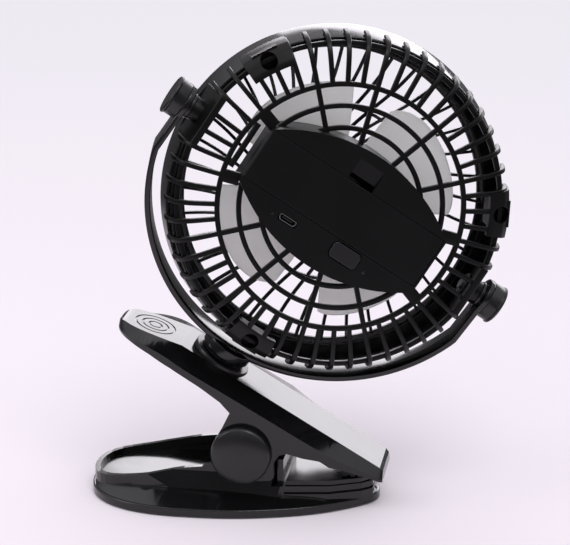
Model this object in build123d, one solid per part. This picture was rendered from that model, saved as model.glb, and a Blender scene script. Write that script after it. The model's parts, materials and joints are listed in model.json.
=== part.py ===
from build123d import *
import math
import os

os.makedirs("parts", exist_ok=True)

# ---------------------------------------------------------------- dimensions
# All in millimetres and degrees. +Z up, long side of the clip along X,
# hinge pin along Y, origin on the floor under the middle of the clip.

# clip
HINGE = (7.2, 25.0)            # hinge axis, X and Z
FOOT_T = 0.6                   # rubber foot under the plate
PLATE_TOP = 3.8                # upper face of the lens-shaped plate
SKIRT_TOP = 8.2                # where the sloping skirt would meet inside the walls
BAY_FLOOR = 6.0                # floor under the spring
LOOP_FLOOR = ((-70.0, 6.4), (-7.0, 9.9))   # rising floor of the handle loop, X and Z
LEDGE = 3.8                    # step inside the walls, below their rim
WALL = 2.4                     # clip mouldings
BASE_HALF = 22.6               # half width of the base walls at their foot
LEVER_HALF = 24.0              # half width of the lever at the hinge
JAW_TOP = 10.4                 # lower jaw under its pad
PAD_TOP = 12.6                 # upper face of the lower pad
LEVER_SLOPE = 30.8             # lever top, down towards the jaws
LEVER_Z0 = 52.0                # plane just under the lever's top, at X = 0
LEVER_SKIN = 2.2
PIN_D = 5.0
GRIP_RINGS = (8.4, 5.5, 2.7)   # radii of the grooves on the thumb end
GRIP_X = -32.6
THUMB = ((-19.2, 65.95), (-44.5, 74.4))   # flat top of the thumb end, X and Z
CAP_D = 24.4                   # domed hinge caps
SPRING_WIRE = 1.8
SPRING_R = 6.6                 # mean radius of the coil
SPRING_PITCH = 3.2
SPRING_TURNS = 5

# swivel and yoke
HEAD_AT = (42.2, 0.0, 125.8)   # centre of the head, where both axes cross
SWIVEL_LEAN = 35.0             # swivel axis from the vertical, towards +X
YOKE_TURN = -10.2              # rest angle of the yoke about the swivel axis
HEAD_TILT = 12.0               # rest angle of the head about the tilt axis
YOKE_R = 76.5                  # outside radius of the band
YOKE_T = 2.3
YOKE_W = 13.0
EAR_X = 73.6                   # outside face of the ears
NECK_D = 21.4
FLANGE_D = 25.0
POST_D = 9.0
KNOB_D = 15.4
AXLE_D = 5.0

# head, local X along the tilt axis, local Z towards the rear
RIBS = 52
RIB_W = 1.9
RING_R = (49.0, 40.5, 31.8)    # centre lines of the three rear rings
BAR = 2.0                      # ring and spoke width
GRID_Z = (12.0, 14.4)
SPOKE_AT = (2, 6, 10, 15, 19, 23, 28, 32, 36, 41, 45, 49)
HOUSE_L, HOUSE_END, HOUSE_H = 41.0, 12.0, 25.5
HOUSE_Z = (2.6, 22.8)
HOUSE_WALL = 1.8
DOOR = (-41.0, 40.0, -9.8, 12.0)
SCREW_R = 64.6
SCREWS_AT = (30, 150, 270)
SADDLE_HALF = 9.3              # half width of the saddles over the grille screws
FLAT_HALF = 11.0               # half width of the flat walls that carry the axles
STUB_D = 10.0                  # round stub from a flat wall to the ear
BAND_Z = (-16.0, 4.0)
BAND_R = (69.6, 66.6)          # outside radius at the front and rear edges
FRONT_R = 60.0                 # inside radius of the front lip
GUARD_Z = -24.4                # outside of the front guard at its middle
GUARD_R = 260.0                # radius of its shallow dome
BLADE_R = 48.0
BLADE_AT = 57.5                # middle of the first blade
BLADE_TWIST = 64.0
HUB_R = 16.0
BUTTON = (9.9, -14.2, 12.4, 6.6)
BUTTON_TRAVEL = 0.8
SWITCH_TOP = 18.2
USB = (-16.8, -14.8)
LEDS = ((-23.3, -15.7), (20.1, -15.8))
SCOOP_X = (-6.5, 4.5)
COVER_SCREWS = ((-37.0, -8.4), (-37.0, 8.4), (37.0, -8.4), (37.0, 8.4))
COVER_SCREW_D = 2.0
MOTOR_D = 24.0
CELL_D, CELL_L = 18.2, 65.0

# ------------------------------------------------------------------- frames
_t, _p, _s = (math.radians(a) for a in (SWIVEL_LEAN, YOKE_TURN, HEAD_TILT))
AXIS_S = Vector(math.sin(_t), 0, math.cos(_t))
_e1 = Vector(math.cos(_t), 0, -math.sin(_t))
AXIS_U = _e1 * math.cos(_p) - Vector(0, 1, 0) * math.sin(_p)
AXIS_M = Vector(0, -1, 0) * math.cos(_p) - _e1 * math.sin(_p)
AXIS_N = AXIS_M * math.cos(_s) + AXIS_S * math.sin(_s)
YOKE = Plane(origin=HEAD_AT, x_dir=AXIS_U, z_dir=AXIS_M).location
HEAD = Plane(origin=HEAD_AT, x_dir=AXIS_U, z_dir=AXIS_N).location
SWIVEL = Plane(origin=HEAD_AT, x_dir=_e1, z_dir=AXIS_S).location


# ------------------------------------------------------------------ helpers
def prism(points, z0, z1):
    """Closed outline in XY, between two heights."""
    return Pos(0, 0, z0) * extrude(make_face(Polyline(*points, close=True)), z1 - z0)


def slab(points, half):
    """Closed outline in XZ, spread to both sides along Y."""
    face = make_face(Polyline(*points, close=True))
    return Pos(0, half, 0) * Rot(90, 0, 0) * extrude(face, 2 * half)


def curved(points, steps=3):
    """Points along a smooth curve through the given ones."""
    line = Spline(*points)
    count = steps * (len(points) - 1)
    return [tuple(line @ (i / count))[:2] for i in range(count + 1)]


def mirrored(points):
    """The same points on the other side of X, in reverse."""
    return [(x, -y) for x, y in reversed(points)]


def along_x(points, x0, x1):
    """Closed outline in YZ, between two places along X."""
    face = Plane.YZ.location * make_face(Polyline(*points, close=True))
    return Pos(x0, 0, 0) * extrude(face, x1 - x0, dir=(1, 0, 0))


def disc(r, z0, z1, x=0.0, y=0.0):
    """Cylinder along Z between two heights."""
    return Pos(x, y, (z0 + z1) / 2) * Cylinder(r, z1 - z0)


def rod(r, y0, y1, x, z):
    """Cylinder along Y."""
    return Pos(x, (y0 + y1) / 2, z) * Rot(90, 0, 0) * Cylinder(r, y1 - y0)


def bar_x(r, x0, x1):
    """Cylinder along X on the axis."""
    return Pos((x0 + x1) / 2, 0, 0) * Rot(0, 90, 0) * Cylinder(r, x1 - x0)


def block(x0, x1, y0, y1, z0, z1):
    """Box from its limits."""
    size = (x1 - x0, y1 - y0, z1 - z0)
    return Pos((x0 + x1) / 2, (y0 + y1) / 2, (z0 + z1) / 2) * Box(*size)


def ring(r0, r1, z0, z1):
    """Flat ring about Z."""
    return disc(r1, z0, z1) - disc(r0, z0 - 1, z1 + 1)


def turned(points):
    """Solid of revolution about Z from points given as radius and height."""
    face = make_face(Polyline(*[(r, 0, z) for r, z in points], close=True))
    return revolve(face, Axis.Z)


def lever_top(x):
    """Height of the plane just under the lever's top, over X."""
    return LEVER_Z0 - math.tan(math.radians(LEVER_SLOPE)) * x


# --------------------------------------------------------------------- base
LENS = ((-59.5, 0), (-58.8, 7.5), (-56.2, 15.8), (-51, 23.2), (-42, 29.6), (-29, 33.6), (-12, 34.4),
        (7, 32.8), (23, 28.8), (40.5, 21.6), (52, 13.6), (59.2, 6.2), (61, 0))
LOOP = ((-58.8, 0), (-58.1, 6.5), (-55.6, 12.4), (-51.4, 16.2), (-45, 18.5), (-33, 20.4), (-18, 22.2),
        (-6, BASE_HALF))
WALL_TOP = ((-70, 9.2), (-50, 9.7), (-41, 10.9), (-31, 12.8), (-14, 16.4), (-6, 18.1), (-3.4, 20.4))


def lens(along=1.0, across=1.0):
    """Outline of the plate as a face, scaled along X and Y."""
    side = [(x * along, y * across) for x, y in LENS]
    return make_face(Spline(*side, *mirrored(side[1:-1]), periodic=True))


def base_outline(inset=0.0):
    """Plan of the walls: rounded handle loop, straight past the hinge."""
    jaw = [(21.0, BASE_HALF), (23.0, 20.4), (42, 17.4), (55, 11.4), (59, 7.4)]
    pts = curved(mirrored(LOOP[1:]) + list(LOOP)) + jaw + mirrored(jaw)
    face = make_face(Polyline(*pts, close=True))
    return offset(face, -inset) if inset else face


def between_walls(inset=0.0):
    """Space between the leaning side faces of the walls."""
    half = [(BASE_HALF - inset, 0), (BASE_HALF - inset, PLATE_TOP), (19.8 - inset, 15.0),
            (19.2 - inset, 50.0)]
    pts = half + [(-y, z) for y, z in reversed(half)]
    return along_x(pts, -70, 70)


def inside_walls():
    """Room between the walls: wide above the ledge, narrower down to the floor."""
    floor = list(LOOP_FLOOR) + [(21.0, LOOP_FLOOR[1][1]), (21.0, 60), (-70, 60)]
    ledge = curved([(x, z - LEDGE) for x, z in WALL_TOP]) + [(21.0, 16.6), (21.0, 60), (-70, 60)]
    low = extrude(base_outline(3.6), 60) & between_walls(3.6) & slab(floor, 40)
    high = extrude(base_outline(2.2), 60) & between_walls(2.2) & slab(ledge, 40)
    return low + (high & slab(floor, 40))


def clip_base():
    plate = Pos(0, 0, FOOT_T) * extrude(lens(), PLATE_TOP - FOOT_T)
    plate = fillet(plate.edges().group_by(Axis.Z)[-1], 0.6)
    skirt = loft([Pos(0, 0, PLATE_TOP - 0.1) * lens(0.985, 0.975), Pos(0, 0, SKIRT_TOP) * lens(0.93, 0.58)])
    tall = Pos(0, 0, PLATE_TOP - 1) * extrude(base_outline(), 40)
    rise = curved(WALL_TOP) + [(-3.4, 26), (19.0, 26), (19.0, JAW_TOP), (70, JAW_TOP), (70, 0), (-70, 0)]
    walls = tall & (slab(rise, 40) + rod(11.2, -40, 40, *HINGE)) & between_walls()
    groove = base_outline() - base_outline(1.2)
    walls -= (Pos(0, 0, 7.0) * extrude(groove, 1.1)) & block(24.0, 70, -40, 40, 0, 20)
    body = plate + skirt + walls
    body -= inside_walls() + block(-7.0, 21.0, -16.0, 16.0, BAY_FLOOR, 40)
    body += block(21, 23.4, -17.6, 17.6, PLATE_TOP - 1, 21.0)
    return body - rod(PIN_D / 2, -40, 40, *HINGE)


def foot_pad():
    return extrude(lens(0.92, 0.88), FOOT_T)


def lower_jaw_pad():
    pts = [(24.6, 19.2), (42, 16.6), (54.6, 10.9), (58, 7.2)]
    return prism(pts + mirrored(pts), JAW_TOP, PAD_TOP)


# -------------------------------------------------------------------- lever
# Stations along X: half width, height of the rim, half width of the flat top, its height.
# The rows of the thumb end lie on smooth curves; the rest runs straight between them.
THUMB_AT = (
    (-47.45, 1.6, 71.2, 0.7, 71.9),
    (-46.9, 5.4, 71.1, 3.0, 73.2),
    (-45.6, 9.2, 70.9, 6.0, 74.1),
    (-43.4, 12.8, 70.5, 8.4, 74.05),
    (-40.4, 16.2, 69.9, 10.3, 73.1),
    (-36.0, 19.3, 69.0, 11.4, 71.6),
    (-30.5, 21.8, 67.4, 12.0, 69.75),
    (-24.6, 23.4, 64.9, 12.1, 67.75),
    (-19.2, 23.9, 61.5, 12.0, 65.95),
)
LEVER_AT = (
    (-14.0, LEVER_HALF, 58.3, 12.0, 62.85),
    (21.0, LEVER_HALF, 38.3, 11.8, 42.0),
    (42.0, 19.4, 24.0, 11.7, 29.45),
    (62.2, 14.8, 13.4, 11.5, 17.4),
    (63.5, 13.4, 12.9, 10.6, 16.1),
)


def between(a, b, c, d, t):
    """A row part of the way from b to c, on a smooth curve through all four."""
    bend = [2 * p - 5 * q + 4 * r - s + t * (3 * (q - r) + s - p) for p, q, r, s in zip(a, b, c, d)]
    return tuple(q + t * (r - p + t * k) / 2 for p, q, r, k in zip(a, b, c, bend))


def lever_rows():
    """All stations of the lever, with two more between each pair of the thumb end."""
    ends = [THUMB_AT[0], *THUMB_AT, THUMB_AT[-1]]
    rows = []
    for four in zip(ends, ends[1:], ends[2:], ends[3:]):
        rows += [between(*four, i / 3) for i in range(3)]
    return rows + [THUMB_AT[-1], *LEVER_AT]


def lever_form(inset=0.0, skin=0.0):
    """Outer form of the lever, flat on top with sloping shoulders, or the form inside its walls."""
    sections = []
    for x, half, rim, strip, top in lever_rows():
        if half > 10 or not inset:
            near = [(half - inset, 0), (half - inset, rim - skin), (strip - inset / 2, top - skin)]
            face = make_face(Polyline(*near, *[(-y, z) for y, z in reversed(near)], close=True))
            sections.append(Pos(x, 0, 0) * Plane.YZ.location * face)
    return loft(sections, ruled=True)


def lever_profile():
    """Side view of the lever with its hinge cheeks."""
    x, z = HINGE
    top = [(63.5, 90), (-47.5, 90)]
    under = [(-47.6, 70.6), (-40, 68.4), (-31, 64.8), (-22, 60.0), (-10, 52.6), (-1.6, 46.6), (2.4, 42.2)]
    cheek = [(-0.8, 35.5)]
    for a in range(160, 291, 10):
        cheek.append((x + 12.4 * math.cos(math.radians(a)), z + 12.4 * math.sin(math.radians(a))))
    cheek += [(19.0, 14.0), (20.4, 15.4), (20.4, 21.9), (22.6, 25.0)]
    jaw = [(25.5, 25.6), (32, 23.4), (38.5, 22.0), (42.4, 19.2), (49, 17.4), (57, 14.7), (63.5, 11.9)]
    return top + under + cheek + jaw


def lever_hollow():
    """Space under the skin, between the side walls."""
    drop = LEVER_SKIN / math.cos(math.radians(LEVER_SLOPE))
    thumb = [(x, z - LEVER_SKIN - 0.2) for x, z in THUMB]
    roof = [(63.5, lever_top(63.5) - drop), (-16, lever_top(-16) - drop), *thumb, (-47, 71.4)]
    return slab(roof + [(-60, 0), (63.5, 0)], 40) & lever_form(WALL, LEVER_SKIN)


def clip_lever():
    body = slab(lever_profile(), 40) & lever_form()
    body -= lever_hollow()
    body -= SWIVEL * (disc(FLANGE_D / 2 + 0.2, -83.8, -70) + disc(POST_D / 2, -95, -80))
    (x0, z0), (x1, z1) = THUMB
    slope = math.degrees(math.atan2(z1 - z0, x0 - x1))
    grip_z = z0 + (z1 - z0) * (GRIP_X - x0) / (x1 - x0)
    for r in GRIP_RINGS:
        groove = ring(r - 0.4, r + 0.4, -0.35, 2)
        body -= Pos(GRIP_X, 0, grip_z) * Rot(0, slope, 0) * groove
    body -= rod(PIN_D / 2 + 0.1, -40, 40, *HINGE)
    return body


def upper_jaw_pad():
    drop = LEVER_SKIN / math.cos(math.radians(LEVER_SLOPE))
    x0, x1, z = 46.5, 60.2, PAD_TOP + 0.2
    side = [(x0, z), (x1, z), (x1, lever_top(x1) - drop), (x0, lever_top(x0) - drop)]
    pad = slab(side, 11.6)
    for i in range(4):
        pad -= block(x0 + 2.4 + i * 3.1, x0 + 3.6 + i * 3.1, -20, 20, z - 1, z + 0.7)
    return pad


def swivel_collar():
    collar = disc(FLANGE_D / 2, -83.8, -81.3) + disc(POST_D / 2, -89.0, -79.4)
    collar -= disc(1.25, -88.0, -79)
    return SWIVEL * collar


def swivel_screw():
    screw = disc(3.0, -77.2, -75.3) + disc(1.25, -86.0, -77.0)
    screw -= block(-2.0, 2.0, -0.45, 0.45, -76.2, -75) + block(-0.45, 0.45, -2.0, 2.0, -76.2, -75)
    return SWIVEL * screw


# -------------------------------------------------------------------- hinge
def hinge_pin():
    half = LEVER_HALF + 1.8
    return rod(PIN_D / 2, -half, half, *HINGE)


def hinge_cap():
    r = CAP_D / 2
    dome = turned([(0, 0), (r, 0), (r, 2.6), (r - 0.7, 3.6), (r * 0.72, 4.7), (r * 0.4, 5.3), (0, 5.5)])
    return dome - disc(PIN_D / 2, -1, 1.5)


def hinge_caps():
    x, z = HINGE
    y = LEVER_HALF + 0.3
    near = Pos(x, -y, z) * Rot(90, 0, 0) * hinge_cap()
    far = Pos(x, y, z) * Rot(-90, 0, 0) * hinge_cap()
    return near + far


def biarc(p0, t0, p1, t1):
    """Two arcs from one point and direction to another."""
    v, t = p1 - p0, t0 + t1
    k = 1 - t0.dot(t1)
    d = (-v.dot(t) + math.sqrt(v.dot(t) ** 2 + 2 * k * v.dot(v))) / (2 * k)
    q0, q1 = p0 + t0 * d, p1 - t1 * d
    mid = (q0 + q1) * 0.5
    return [TangentArc(p0, mid, tangent=t0), TangentArc(mid, p1, tangent=(q1 - q0))]


def coil_point(a):
    """Point and direction on the coil at a turning angle in radians."""
    x, z = HINGE
    rise = SPRING_PITCH / (2 * math.pi)
    y = -SPRING_PITCH * SPRING_TURNS / 2 + rise * (a - COIL_START)
    p = Vector(x + SPRING_R * math.cos(a), y, z + SPRING_R * math.sin(a))
    d = Vector(-SPRING_R * math.sin(a), rise, SPRING_R * math.cos(a)).normalized()
    return p, d


COIL_START = math.radians(-45)
COIL_END = math.radians(45 + 360 * (SPRING_TURNS - 1))


def torsion_spring():
    """Coil round the pin with one leg on the floor and one under the lever."""
    steps = 2 * SPRING_TURNS - 1
    angles = [COIL_START + (COIL_END - COIL_START) * i / steps for i in range(steps + 1)]
    p, d = coil_point(angles[0])
    tail = p - d * 18.2
    edges = [Line(tail, p)]
    for a, b in zip(angles, angles[1:]):
        edges += biarc(*coil_point(a), *coil_point(b))
    p, d = coil_point(angles[-1])
    edges.append(Line(p, p + d * 13.0))
    path = Wire(edges)
    start = Plane(origin=tail, z_dir=(path % 0))
    return sweep(start * Circle(SPRING_WIRE / 2), path=path)


def print_coil_gap():
    """Least gap between neighbouring turns of the coil."""
    gap = 99.0
    for i in range(0, 360, 5):
        p, _ = coil_point(COIL_START + math.radians(i))
        for j in range(-60, 61, 5):
            q, _ = coil_point(COIL_START + math.radians(i + 360 + j))
            gap = min(gap, (q - p).length - SPRING_WIRE)
    print("spring: least gap between turns %.2f mm" % gap)


# --------------------------------------------------------------------- yoke
def yoke_side(r, x, end):
    """Outline points of one face of the band, ear to ear."""
    start = math.degrees(math.acos(x / r))
    pts = [(-x, end)]
    for i in range(0, 41):
        a = math.radians(180 + start + (180 - 2 * start) * i / 40)
        pts.append((r * math.cos(a), r * math.sin(a)))
    return pts + [(x, end)]


def yoke():
    outer = yoke_side(YOKE_R, EAR_X, 0)
    inner = yoke_side(YOKE_R - YOKE_T, EAR_X - YOKE_T, 0)
    band = prism(outer + inner[::-1], -YOKE_W / 2, YOKE_W / 2)
    ears = bar_x(YOKE_W / 2 + 1.3, -EAR_X, -EAR_X + YOKE_T) + bar_x(YOKE_W / 2 + 1.3, EAR_X - YOKE_T, EAR_X)
    neck = Rot(-90, 0, 0) * disc(NECK_D / 2, -81.1, -75.6)
    inside = Cylinder(YOKE_R - YOKE_T, 60)
    part = band + ears + (neck - inside)
    bore = disc(3.3, -77.4, -60) + disc(2.0, -80, -77) + disc(POST_D / 2 + 0.1, -90, -79.2)
    part -= Rot(-90, 0, 0) * bore
    part -= bar_x(AXLE_D / 2 + 0.1, -90, 90)
    return YOKE * part


def tilt_knobs():
    x = EAR_X
    r = KNOB_D / 2
    prof = [(0, 0), (r, 0), (r, 4.6), (r + 0.5, 4.8), (r + 0.5, 5.6), (r - 0.2, 6.0), (0, 6.0)]
    one = turned(prof) - disc(AXLE_D / 2 + 0.1, -1, 3.9)
    right = Pos(x, 0, 0) * Rot(0, 90, 0) * one
    left = Pos(-x, 0, 0) * Rot(0, -90, 0) * one
    return YOKE * (left + right)


# --------------------------------------------------------------- head cage
def rib_angle(k):
    return (k + 0.5) * 360.0 / RIBS


def rib():
    """Radial rib that bends forward over the front band."""
    outer = [(48.2, 14.4), (60.0, 13.8), (64.3, 12.2), (67.2, 8.6), (68.5, 3.0), (69.2, -2.0)]
    inner = [(67.75, -2.0), (66.85, 4.1), (65.6, 6.8), (63.0, 9.8), (59.6, 11.4), (48.2, 12.0)]
    return slab(outer + inner, RIB_W / 2)


def house_outline(inset=0.0):
    """Eye-shaped outline of the rear housing with flat ends."""
    arc_top = ThreePointArc((-HOUSE_L, HOUSE_END), (0, HOUSE_H), (HOUSE_L, HOUSE_END))
    arc_low = ThreePointArc((HOUSE_L, -HOUSE_END), (0, -HOUSE_H), (-HOUSE_L, -HOUSE_END))
    ends = [Line((HOUSE_L, HOUSE_END), (HOUSE_L, -HOUSE_END)),
            Line((-HOUSE_L, -HOUSE_END), (-HOUSE_L, HOUSE_END))]
    face = make_face(Wire([arc_top, ends[0], arc_low, ends[1]]))
    return offset(face, -inset, kind=Kind.INTERSECTION) if inset else face


def house_prism(inset, z0, z1):
    return Pos(0, 0, z0) * extrude(house_outline(inset), z1 - z0)


def screw_saddle(angle):
    """Platform over the ribs, and a post below it, for one grille screw."""
    outer = [(59.6, 14.3), (62.0, 14.0), (66.0, 12.0), (68.4, 8.6), (69.2, 3.0), (69.6, -2.6)]
    inner = [(67.85, -2.6), (66.85, 4.1), (65.6, 6.8), (59.6, 9.6)]
    platform = turned(outer + inner) & block(50, 75, -SADDLE_HALF, SADDLE_HALF, -20, 20)
    post = block(60.2, 69.0, -5.4, 5.4, -1.8, 9.8)
    return Rot(0, 0, angle) * (platform + post)


def beyond_flat():
    """Everything outside the flat wall on the positive side."""
    return slab([(64.2, 30), (64.2, 14.4), (68.0, -9.5), (68.0, -30), (90, -30), (90, 30)], FLAT_HALF)


def pivot_wall():
    """Flat leaning wall across the rim, with the round stub of one axle."""
    side = [(61.4, 14.4), (64.2, 14.4), (68.0, -9.5), (65.2, -9.5)]
    stub = bar_x(STUB_D / 2, 58.0, 69.6)
    return slab(side, FLAT_HALF) + stub


def grid():
    """Three rings, twelve spokes and the ribs."""
    z0, z1 = GRID_Z
    parts = [ring(r - BAR / 2, r + BAR / 2, z0, z1) for r in RING_R]
    one = rib()
    parts += [Rot(0, 0, rib_angle(k)) * one for k in range(RIBS)]
    for k in SPOKE_AT:
        wide = 5.2 if min(k, RIBS - 1 - k, abs(k - 25.5) - 0.5) <= 2 else BAR
        inner = 42.0 if wide > BAR else 20.0
        parts.append(Rot(0, 0, rib_angle(k)) * block(inner, RING_R[0], -wide / 2, wide / 2, z0, z1))
    parts.append(ring(63.6, 65.6, 6.9, 9.4))
    parts.append(block(-47.0, -44.8, -10, 10, z0, z1))
    return parts


def rear_case():
    part = Part() + grid()
    part += [screw_saddle(a) for a in SCREWS_AT]
    part -= [Rot(0, 0, a) * beyond_flat() for a in (0, 180)]
    part += [Rot(0, 0, a) * pivot_wall() for a in (0, 180)]
    shell = house_prism(0, *HOUSE_Z)
    shell = fillet(shell.edges().group_by(Axis.Z)[-1], 1.0)
    part = part + shell
    part -= house_prism(HOUSE_WALL, HOUSE_Z[0] - 1, HOUSE_Z[1] - 1.6)
    part -= block(DOOR[0] - 1, DOOR[1], DOOR[2], DOOR[3], HOUSE_Z[1] - 1.7, 30)
    part -= block(-46, -HOUSE_L + HOUSE_WALL + 0.01, DOOR[2], DOOR[3], HOUSE_Z[1] - 1.7, 30)
    part -= scoop()
    part -= rounded(BUTTON[0], BUTTON[1], BUTTON[2] + 0.5, BUTTON[3] + 0.5, 1.9, 19, 30)
    part -= block(USB[0] - 4.1, USB[0] + 4.1, USB[1] - 1.6, USB[1] + 1.6, 19, 30)
    part -= [disc(0.9, 19, 30, *p) for p in LEDS]
    part += [disc(2.4, HOUSE_Z[0], 12.0, *p) - disc(COVER_SCREW_D / 2, 0, 10.0, *p) for p in COVER_SCREWS]
    part -= bar_x(AXLE_D / 2, -90, -61) + bar_x(AXLE_D / 2, 61, 90)
    part -= [Rot(0, 0, a) * disc(3.5, 4.0, 20, SCREW_R) for a in SCREWS_AT]
    part -= [Rot(0, 0, a) * disc(1.5, -5, 20, SCREW_R) for a in SCREWS_AT]
    return HEAD * part


def scoop():
    """Finger notch beside the battery door, deepest at the door."""
    prof = [(21.2, 23.0), (21.2, 22.4), (14.4, 21.5), (14.4, 20.5), (13.0, 20.5), (13.0, 23.0)]
    return along_x(prof, *SCOOP_X)


def rounded(x, y, w, h, r, z0, z1):
    """Rounded rectangle plate."""
    return Pos(x, y, z0) * extrude(RectangleRounded(w, h, r), z1 - z0)


def spiral_ribs(count=36, w=1.3):
    """Curved ribs of the front guard, cut to a shallow dome."""
    def at(r, a, s):
        a = math.radians(a)
        return (r * math.cos(a) - s * math.sin(a), r * math.sin(a) + s * math.cos(a))
    left = ThreePointArc(at(13.0, 34, w / 2), at(38, 13.5, w / 2), at(61.5, 0, w / 2))
    right = ThreePointArc(at(61.5, 0, -w / 2), at(38, 13.5, -w / 2), at(13.0, 34, -w / 2))
    ends = [Line(left @ 1, right @ 0), Line(right @ 1, left @ 0)]
    one = Pos(0, 0, GUARD_Z - 6) * extrude(make_face(Wire([left, ends[0], right, ends[1]])), 20)
    return [Rot(0, 0, i * 360 / count) * one for i in range(count)]


def front_grille():
    """Front band with its lip and the curved guard ribs."""
    z0, z1 = BAND_Z
    rf, rr = BAND_R
    band = turned([(rf - 2.2, z0), (rf, z0), (rf, z0 + 0.4), (rr, z1), (rr - 1.8, z1), (rf - 2.2, z0 + 3)])
    lip = turned([(FRONT_R, z0), (rf - 1.6, z0), (rf - 1.6, z0 - 1.4), (rf - 3, z0 - 2.2),
                  (FRONT_R, z0 - 2.2)])
    lip += turned([(FRONT_R, z0), (rf - 2.0, z0), (rf - 2.0, z0 + 2.0), (FRONT_R + 2.4, z0 + 2.0)])
    top = GUARD_Z + GUARD_R
    dome = Pos(0, 0, top) * Sphere(GUARD_R) - Pos(0, 0, top) * Sphere(GUARD_R - 2.0)
    middle = disc(14.5, GUARD_Z - 6, GUARD_Z + 14) + ring(35.4, 36.8, GUARD_Z - 6, GUARD_Z + 14)
    part = band + lip + ((Part() + spiral_ribs() + middle) & dome)
    for a in SCREWS_AT:
        part += Rot(0, 0, a) * (block(61.2, 69, -4, 4, z0, -2.0) & disc(67.0, -20, 5))
        part -= Rot(0, 0, a) * (block(59, 70, -5.6, 5.6, -1.95, 12) + disc(1.25, -11, 0, SCREW_R))
    for a in (0, 180):
        part -= Rot(0, 0, a) * block(59, 72, -FLAT_HALF - 0.2, FLAT_HALF + 0.2, -9.65, 12)
    return HEAD * part


def front_cap():
    prof = [(0, -1.8), (9, -1.5), (12.6, -0.8), (13.4, 0.2), (13.4, 1.4), (0, 1.4)]
    cap = Pos(0, 0, GUARD_Z) * turned(prof)
    cap -= Pos(0, 0, GUARD_Z + GUARD_R) * Sphere(GUARD_R)
    return HEAD * cap


def grille_screws():
    one = disc(2.8, 4.0, 5.8, SCREW_R) + disc(1.25, -9.0, 4.1, SCREW_R)
    cross = block(-1.9, 1.9, -0.4, 0.4, 4.9, 7) + block(-0.4, 0.4, -1.9, 1.9, 4.9, 7)
    one -= Pos(SCREW_R, 0, 0) * cross
    return HEAD * (Part() + [Rot(0, 0, a) * one for a in SCREWS_AT])


def pivot_axles():
    return HEAD * (bar_x(AXLE_D / 2, -77.0, -61.2) + bar_x(AXLE_D / 2, 61.2, 77.0))


def tilt_washers():
    left = bar_x(5.4, -71.2, -69.6) - bar_x(AXLE_D / 2, -80, -60)
    right = bar_x(5.4, 69.6, 71.2) - bar_x(AXLE_D / 2, 60, 80)
    return HEAD * (left + right)


# ------------------------------------------------------------ inside the head
def motor_cover():
    cover = house_prism(0.0, 0.6, HOUSE_Z[0])
    cover += disc(18.5, -0.6, 0.7)
    cover -= [disc(COVER_SCREW_D / 2, -1, 5, *p) for p in COVER_SCREWS]
    return HEAD * (cover - disc(MOTOR_D / 2, -5, 5))


def cover_screws():
    """Four short screws from the front through the motor cover."""
    one = disc(1.9, -0.5, 0.6) + disc(COVER_SCREW_D / 2, 0.6, 9.0)
    one -= block(-1.3, 1.3, -0.3, 0.3, -0.6, -0.1) + block(-0.3, 0.3, -1.3, 1.3, -0.6, -0.1)
    return HEAD * (Part() + [Pos(x, y, 0) * one for x, y in COVER_SCREWS])


def motor_can():
    return HEAD * (disc(MOTOR_D / 2, -11.0, 2.6) - disc(1.3, -20, 0))


def motor_shaft():
    return HEAD * (disc(1.0, -16.0, -2.0))


def battery_cell():
    cell = Pos(0.0, 0.7, 11.9) * Rot(0, 90, 0) * Cylinder(CELL_D / 2, CELL_L)
    tip = Pos(CELL_L / 2 + 0.6, 0.7, 11.9) * Rot(0, 90, 0) * Cylinder(3.0, 1.2)
    return HEAD * (cell + tip)


def cell_contacts():
    right = block(CELL_L / 2 + 1.2, CELL_L / 2 + 1.8, -5, 6, 6, 17)
    left = block(-CELL_L / 2 - 0.6, -CELL_L / 2, -5, 6, 6, 17)
    return HEAD * (left + right)


def cell_cradle():
    """Two saddles that hold the cell on the motor cover."""
    bore = Pos(0.0, 0.7, 11.9) * Rot(0, 90, 0) * Cylinder(CELL_D / 2, 90)
    one = block(-25, -22, -10.5, 11.5, HOUSE_Z[0], 9.0) - bore
    two = block(22, 25, -10.5, 11.5, HOUSE_Z[0], 9.0) - bore
    return HEAD * (one + two)


def circuit_board():
    board = block(-27, 24, -17.0, -11.4, 14.6, 15.6)
    chips = block(-8, -3, -16, -12.5, 15.6, 16.8) + block(-1, 2, -15.5, -12.5, 15.6, 16.5)
    return HEAD * (board + chips)


def usb_socket():
    x, y = USB
    shell = rounded(x, y, 7.6, 2.7, 0.8, 15.6, 22.5) - rounded(x, y, 6.9, 2.0, 0.5, 17.0, 30)
    tongue = block(x - 2.2, x + 2.2, y - 0.3, y + 0.4, 16.9, 21.6)
    return HEAD * (shell + tongue)


def tact_switch():
    x, y = BUTTON[:2]
    return HEAD * (block(x - 2.6, x + 2.6, y - 2.6, y + 2.6, 15.6, 17.4) + disc(1.4, 17.4, SWITCH_TOP, x, y))


def power_button():
    x, y, w, h = BUTTON
    cap = rounded(x, y, w, h, 1.7, 20.0, 23.5)
    low = SWITCH_TOP + BUTTON_TRAVEL + 0.1
    return HEAD * (cap + rounded(x, y, 4, 3, 0.5, low, 20.1))


def indicator_lights():
    return HEAD * (Part() + [disc(0.88, 15.6, 22.6, *p) for p in LEDS])


def battery_door():
    x0, x1, y0, y1 = DOOR
    door = block(x0, x1 - 0.15, y0 + 0.15, y1 - 0.15, HOUSE_Z[1] - 1.55, HOUSE_Z[1])
    flat_end = block(x0, x0 + HOUSE_WALL, y0 + 0.15, y1 - 0.15, HOUSE_Z[1] - 1.55, HOUSE_Z[1])
    return HEAD * (door + flat_end)


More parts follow.
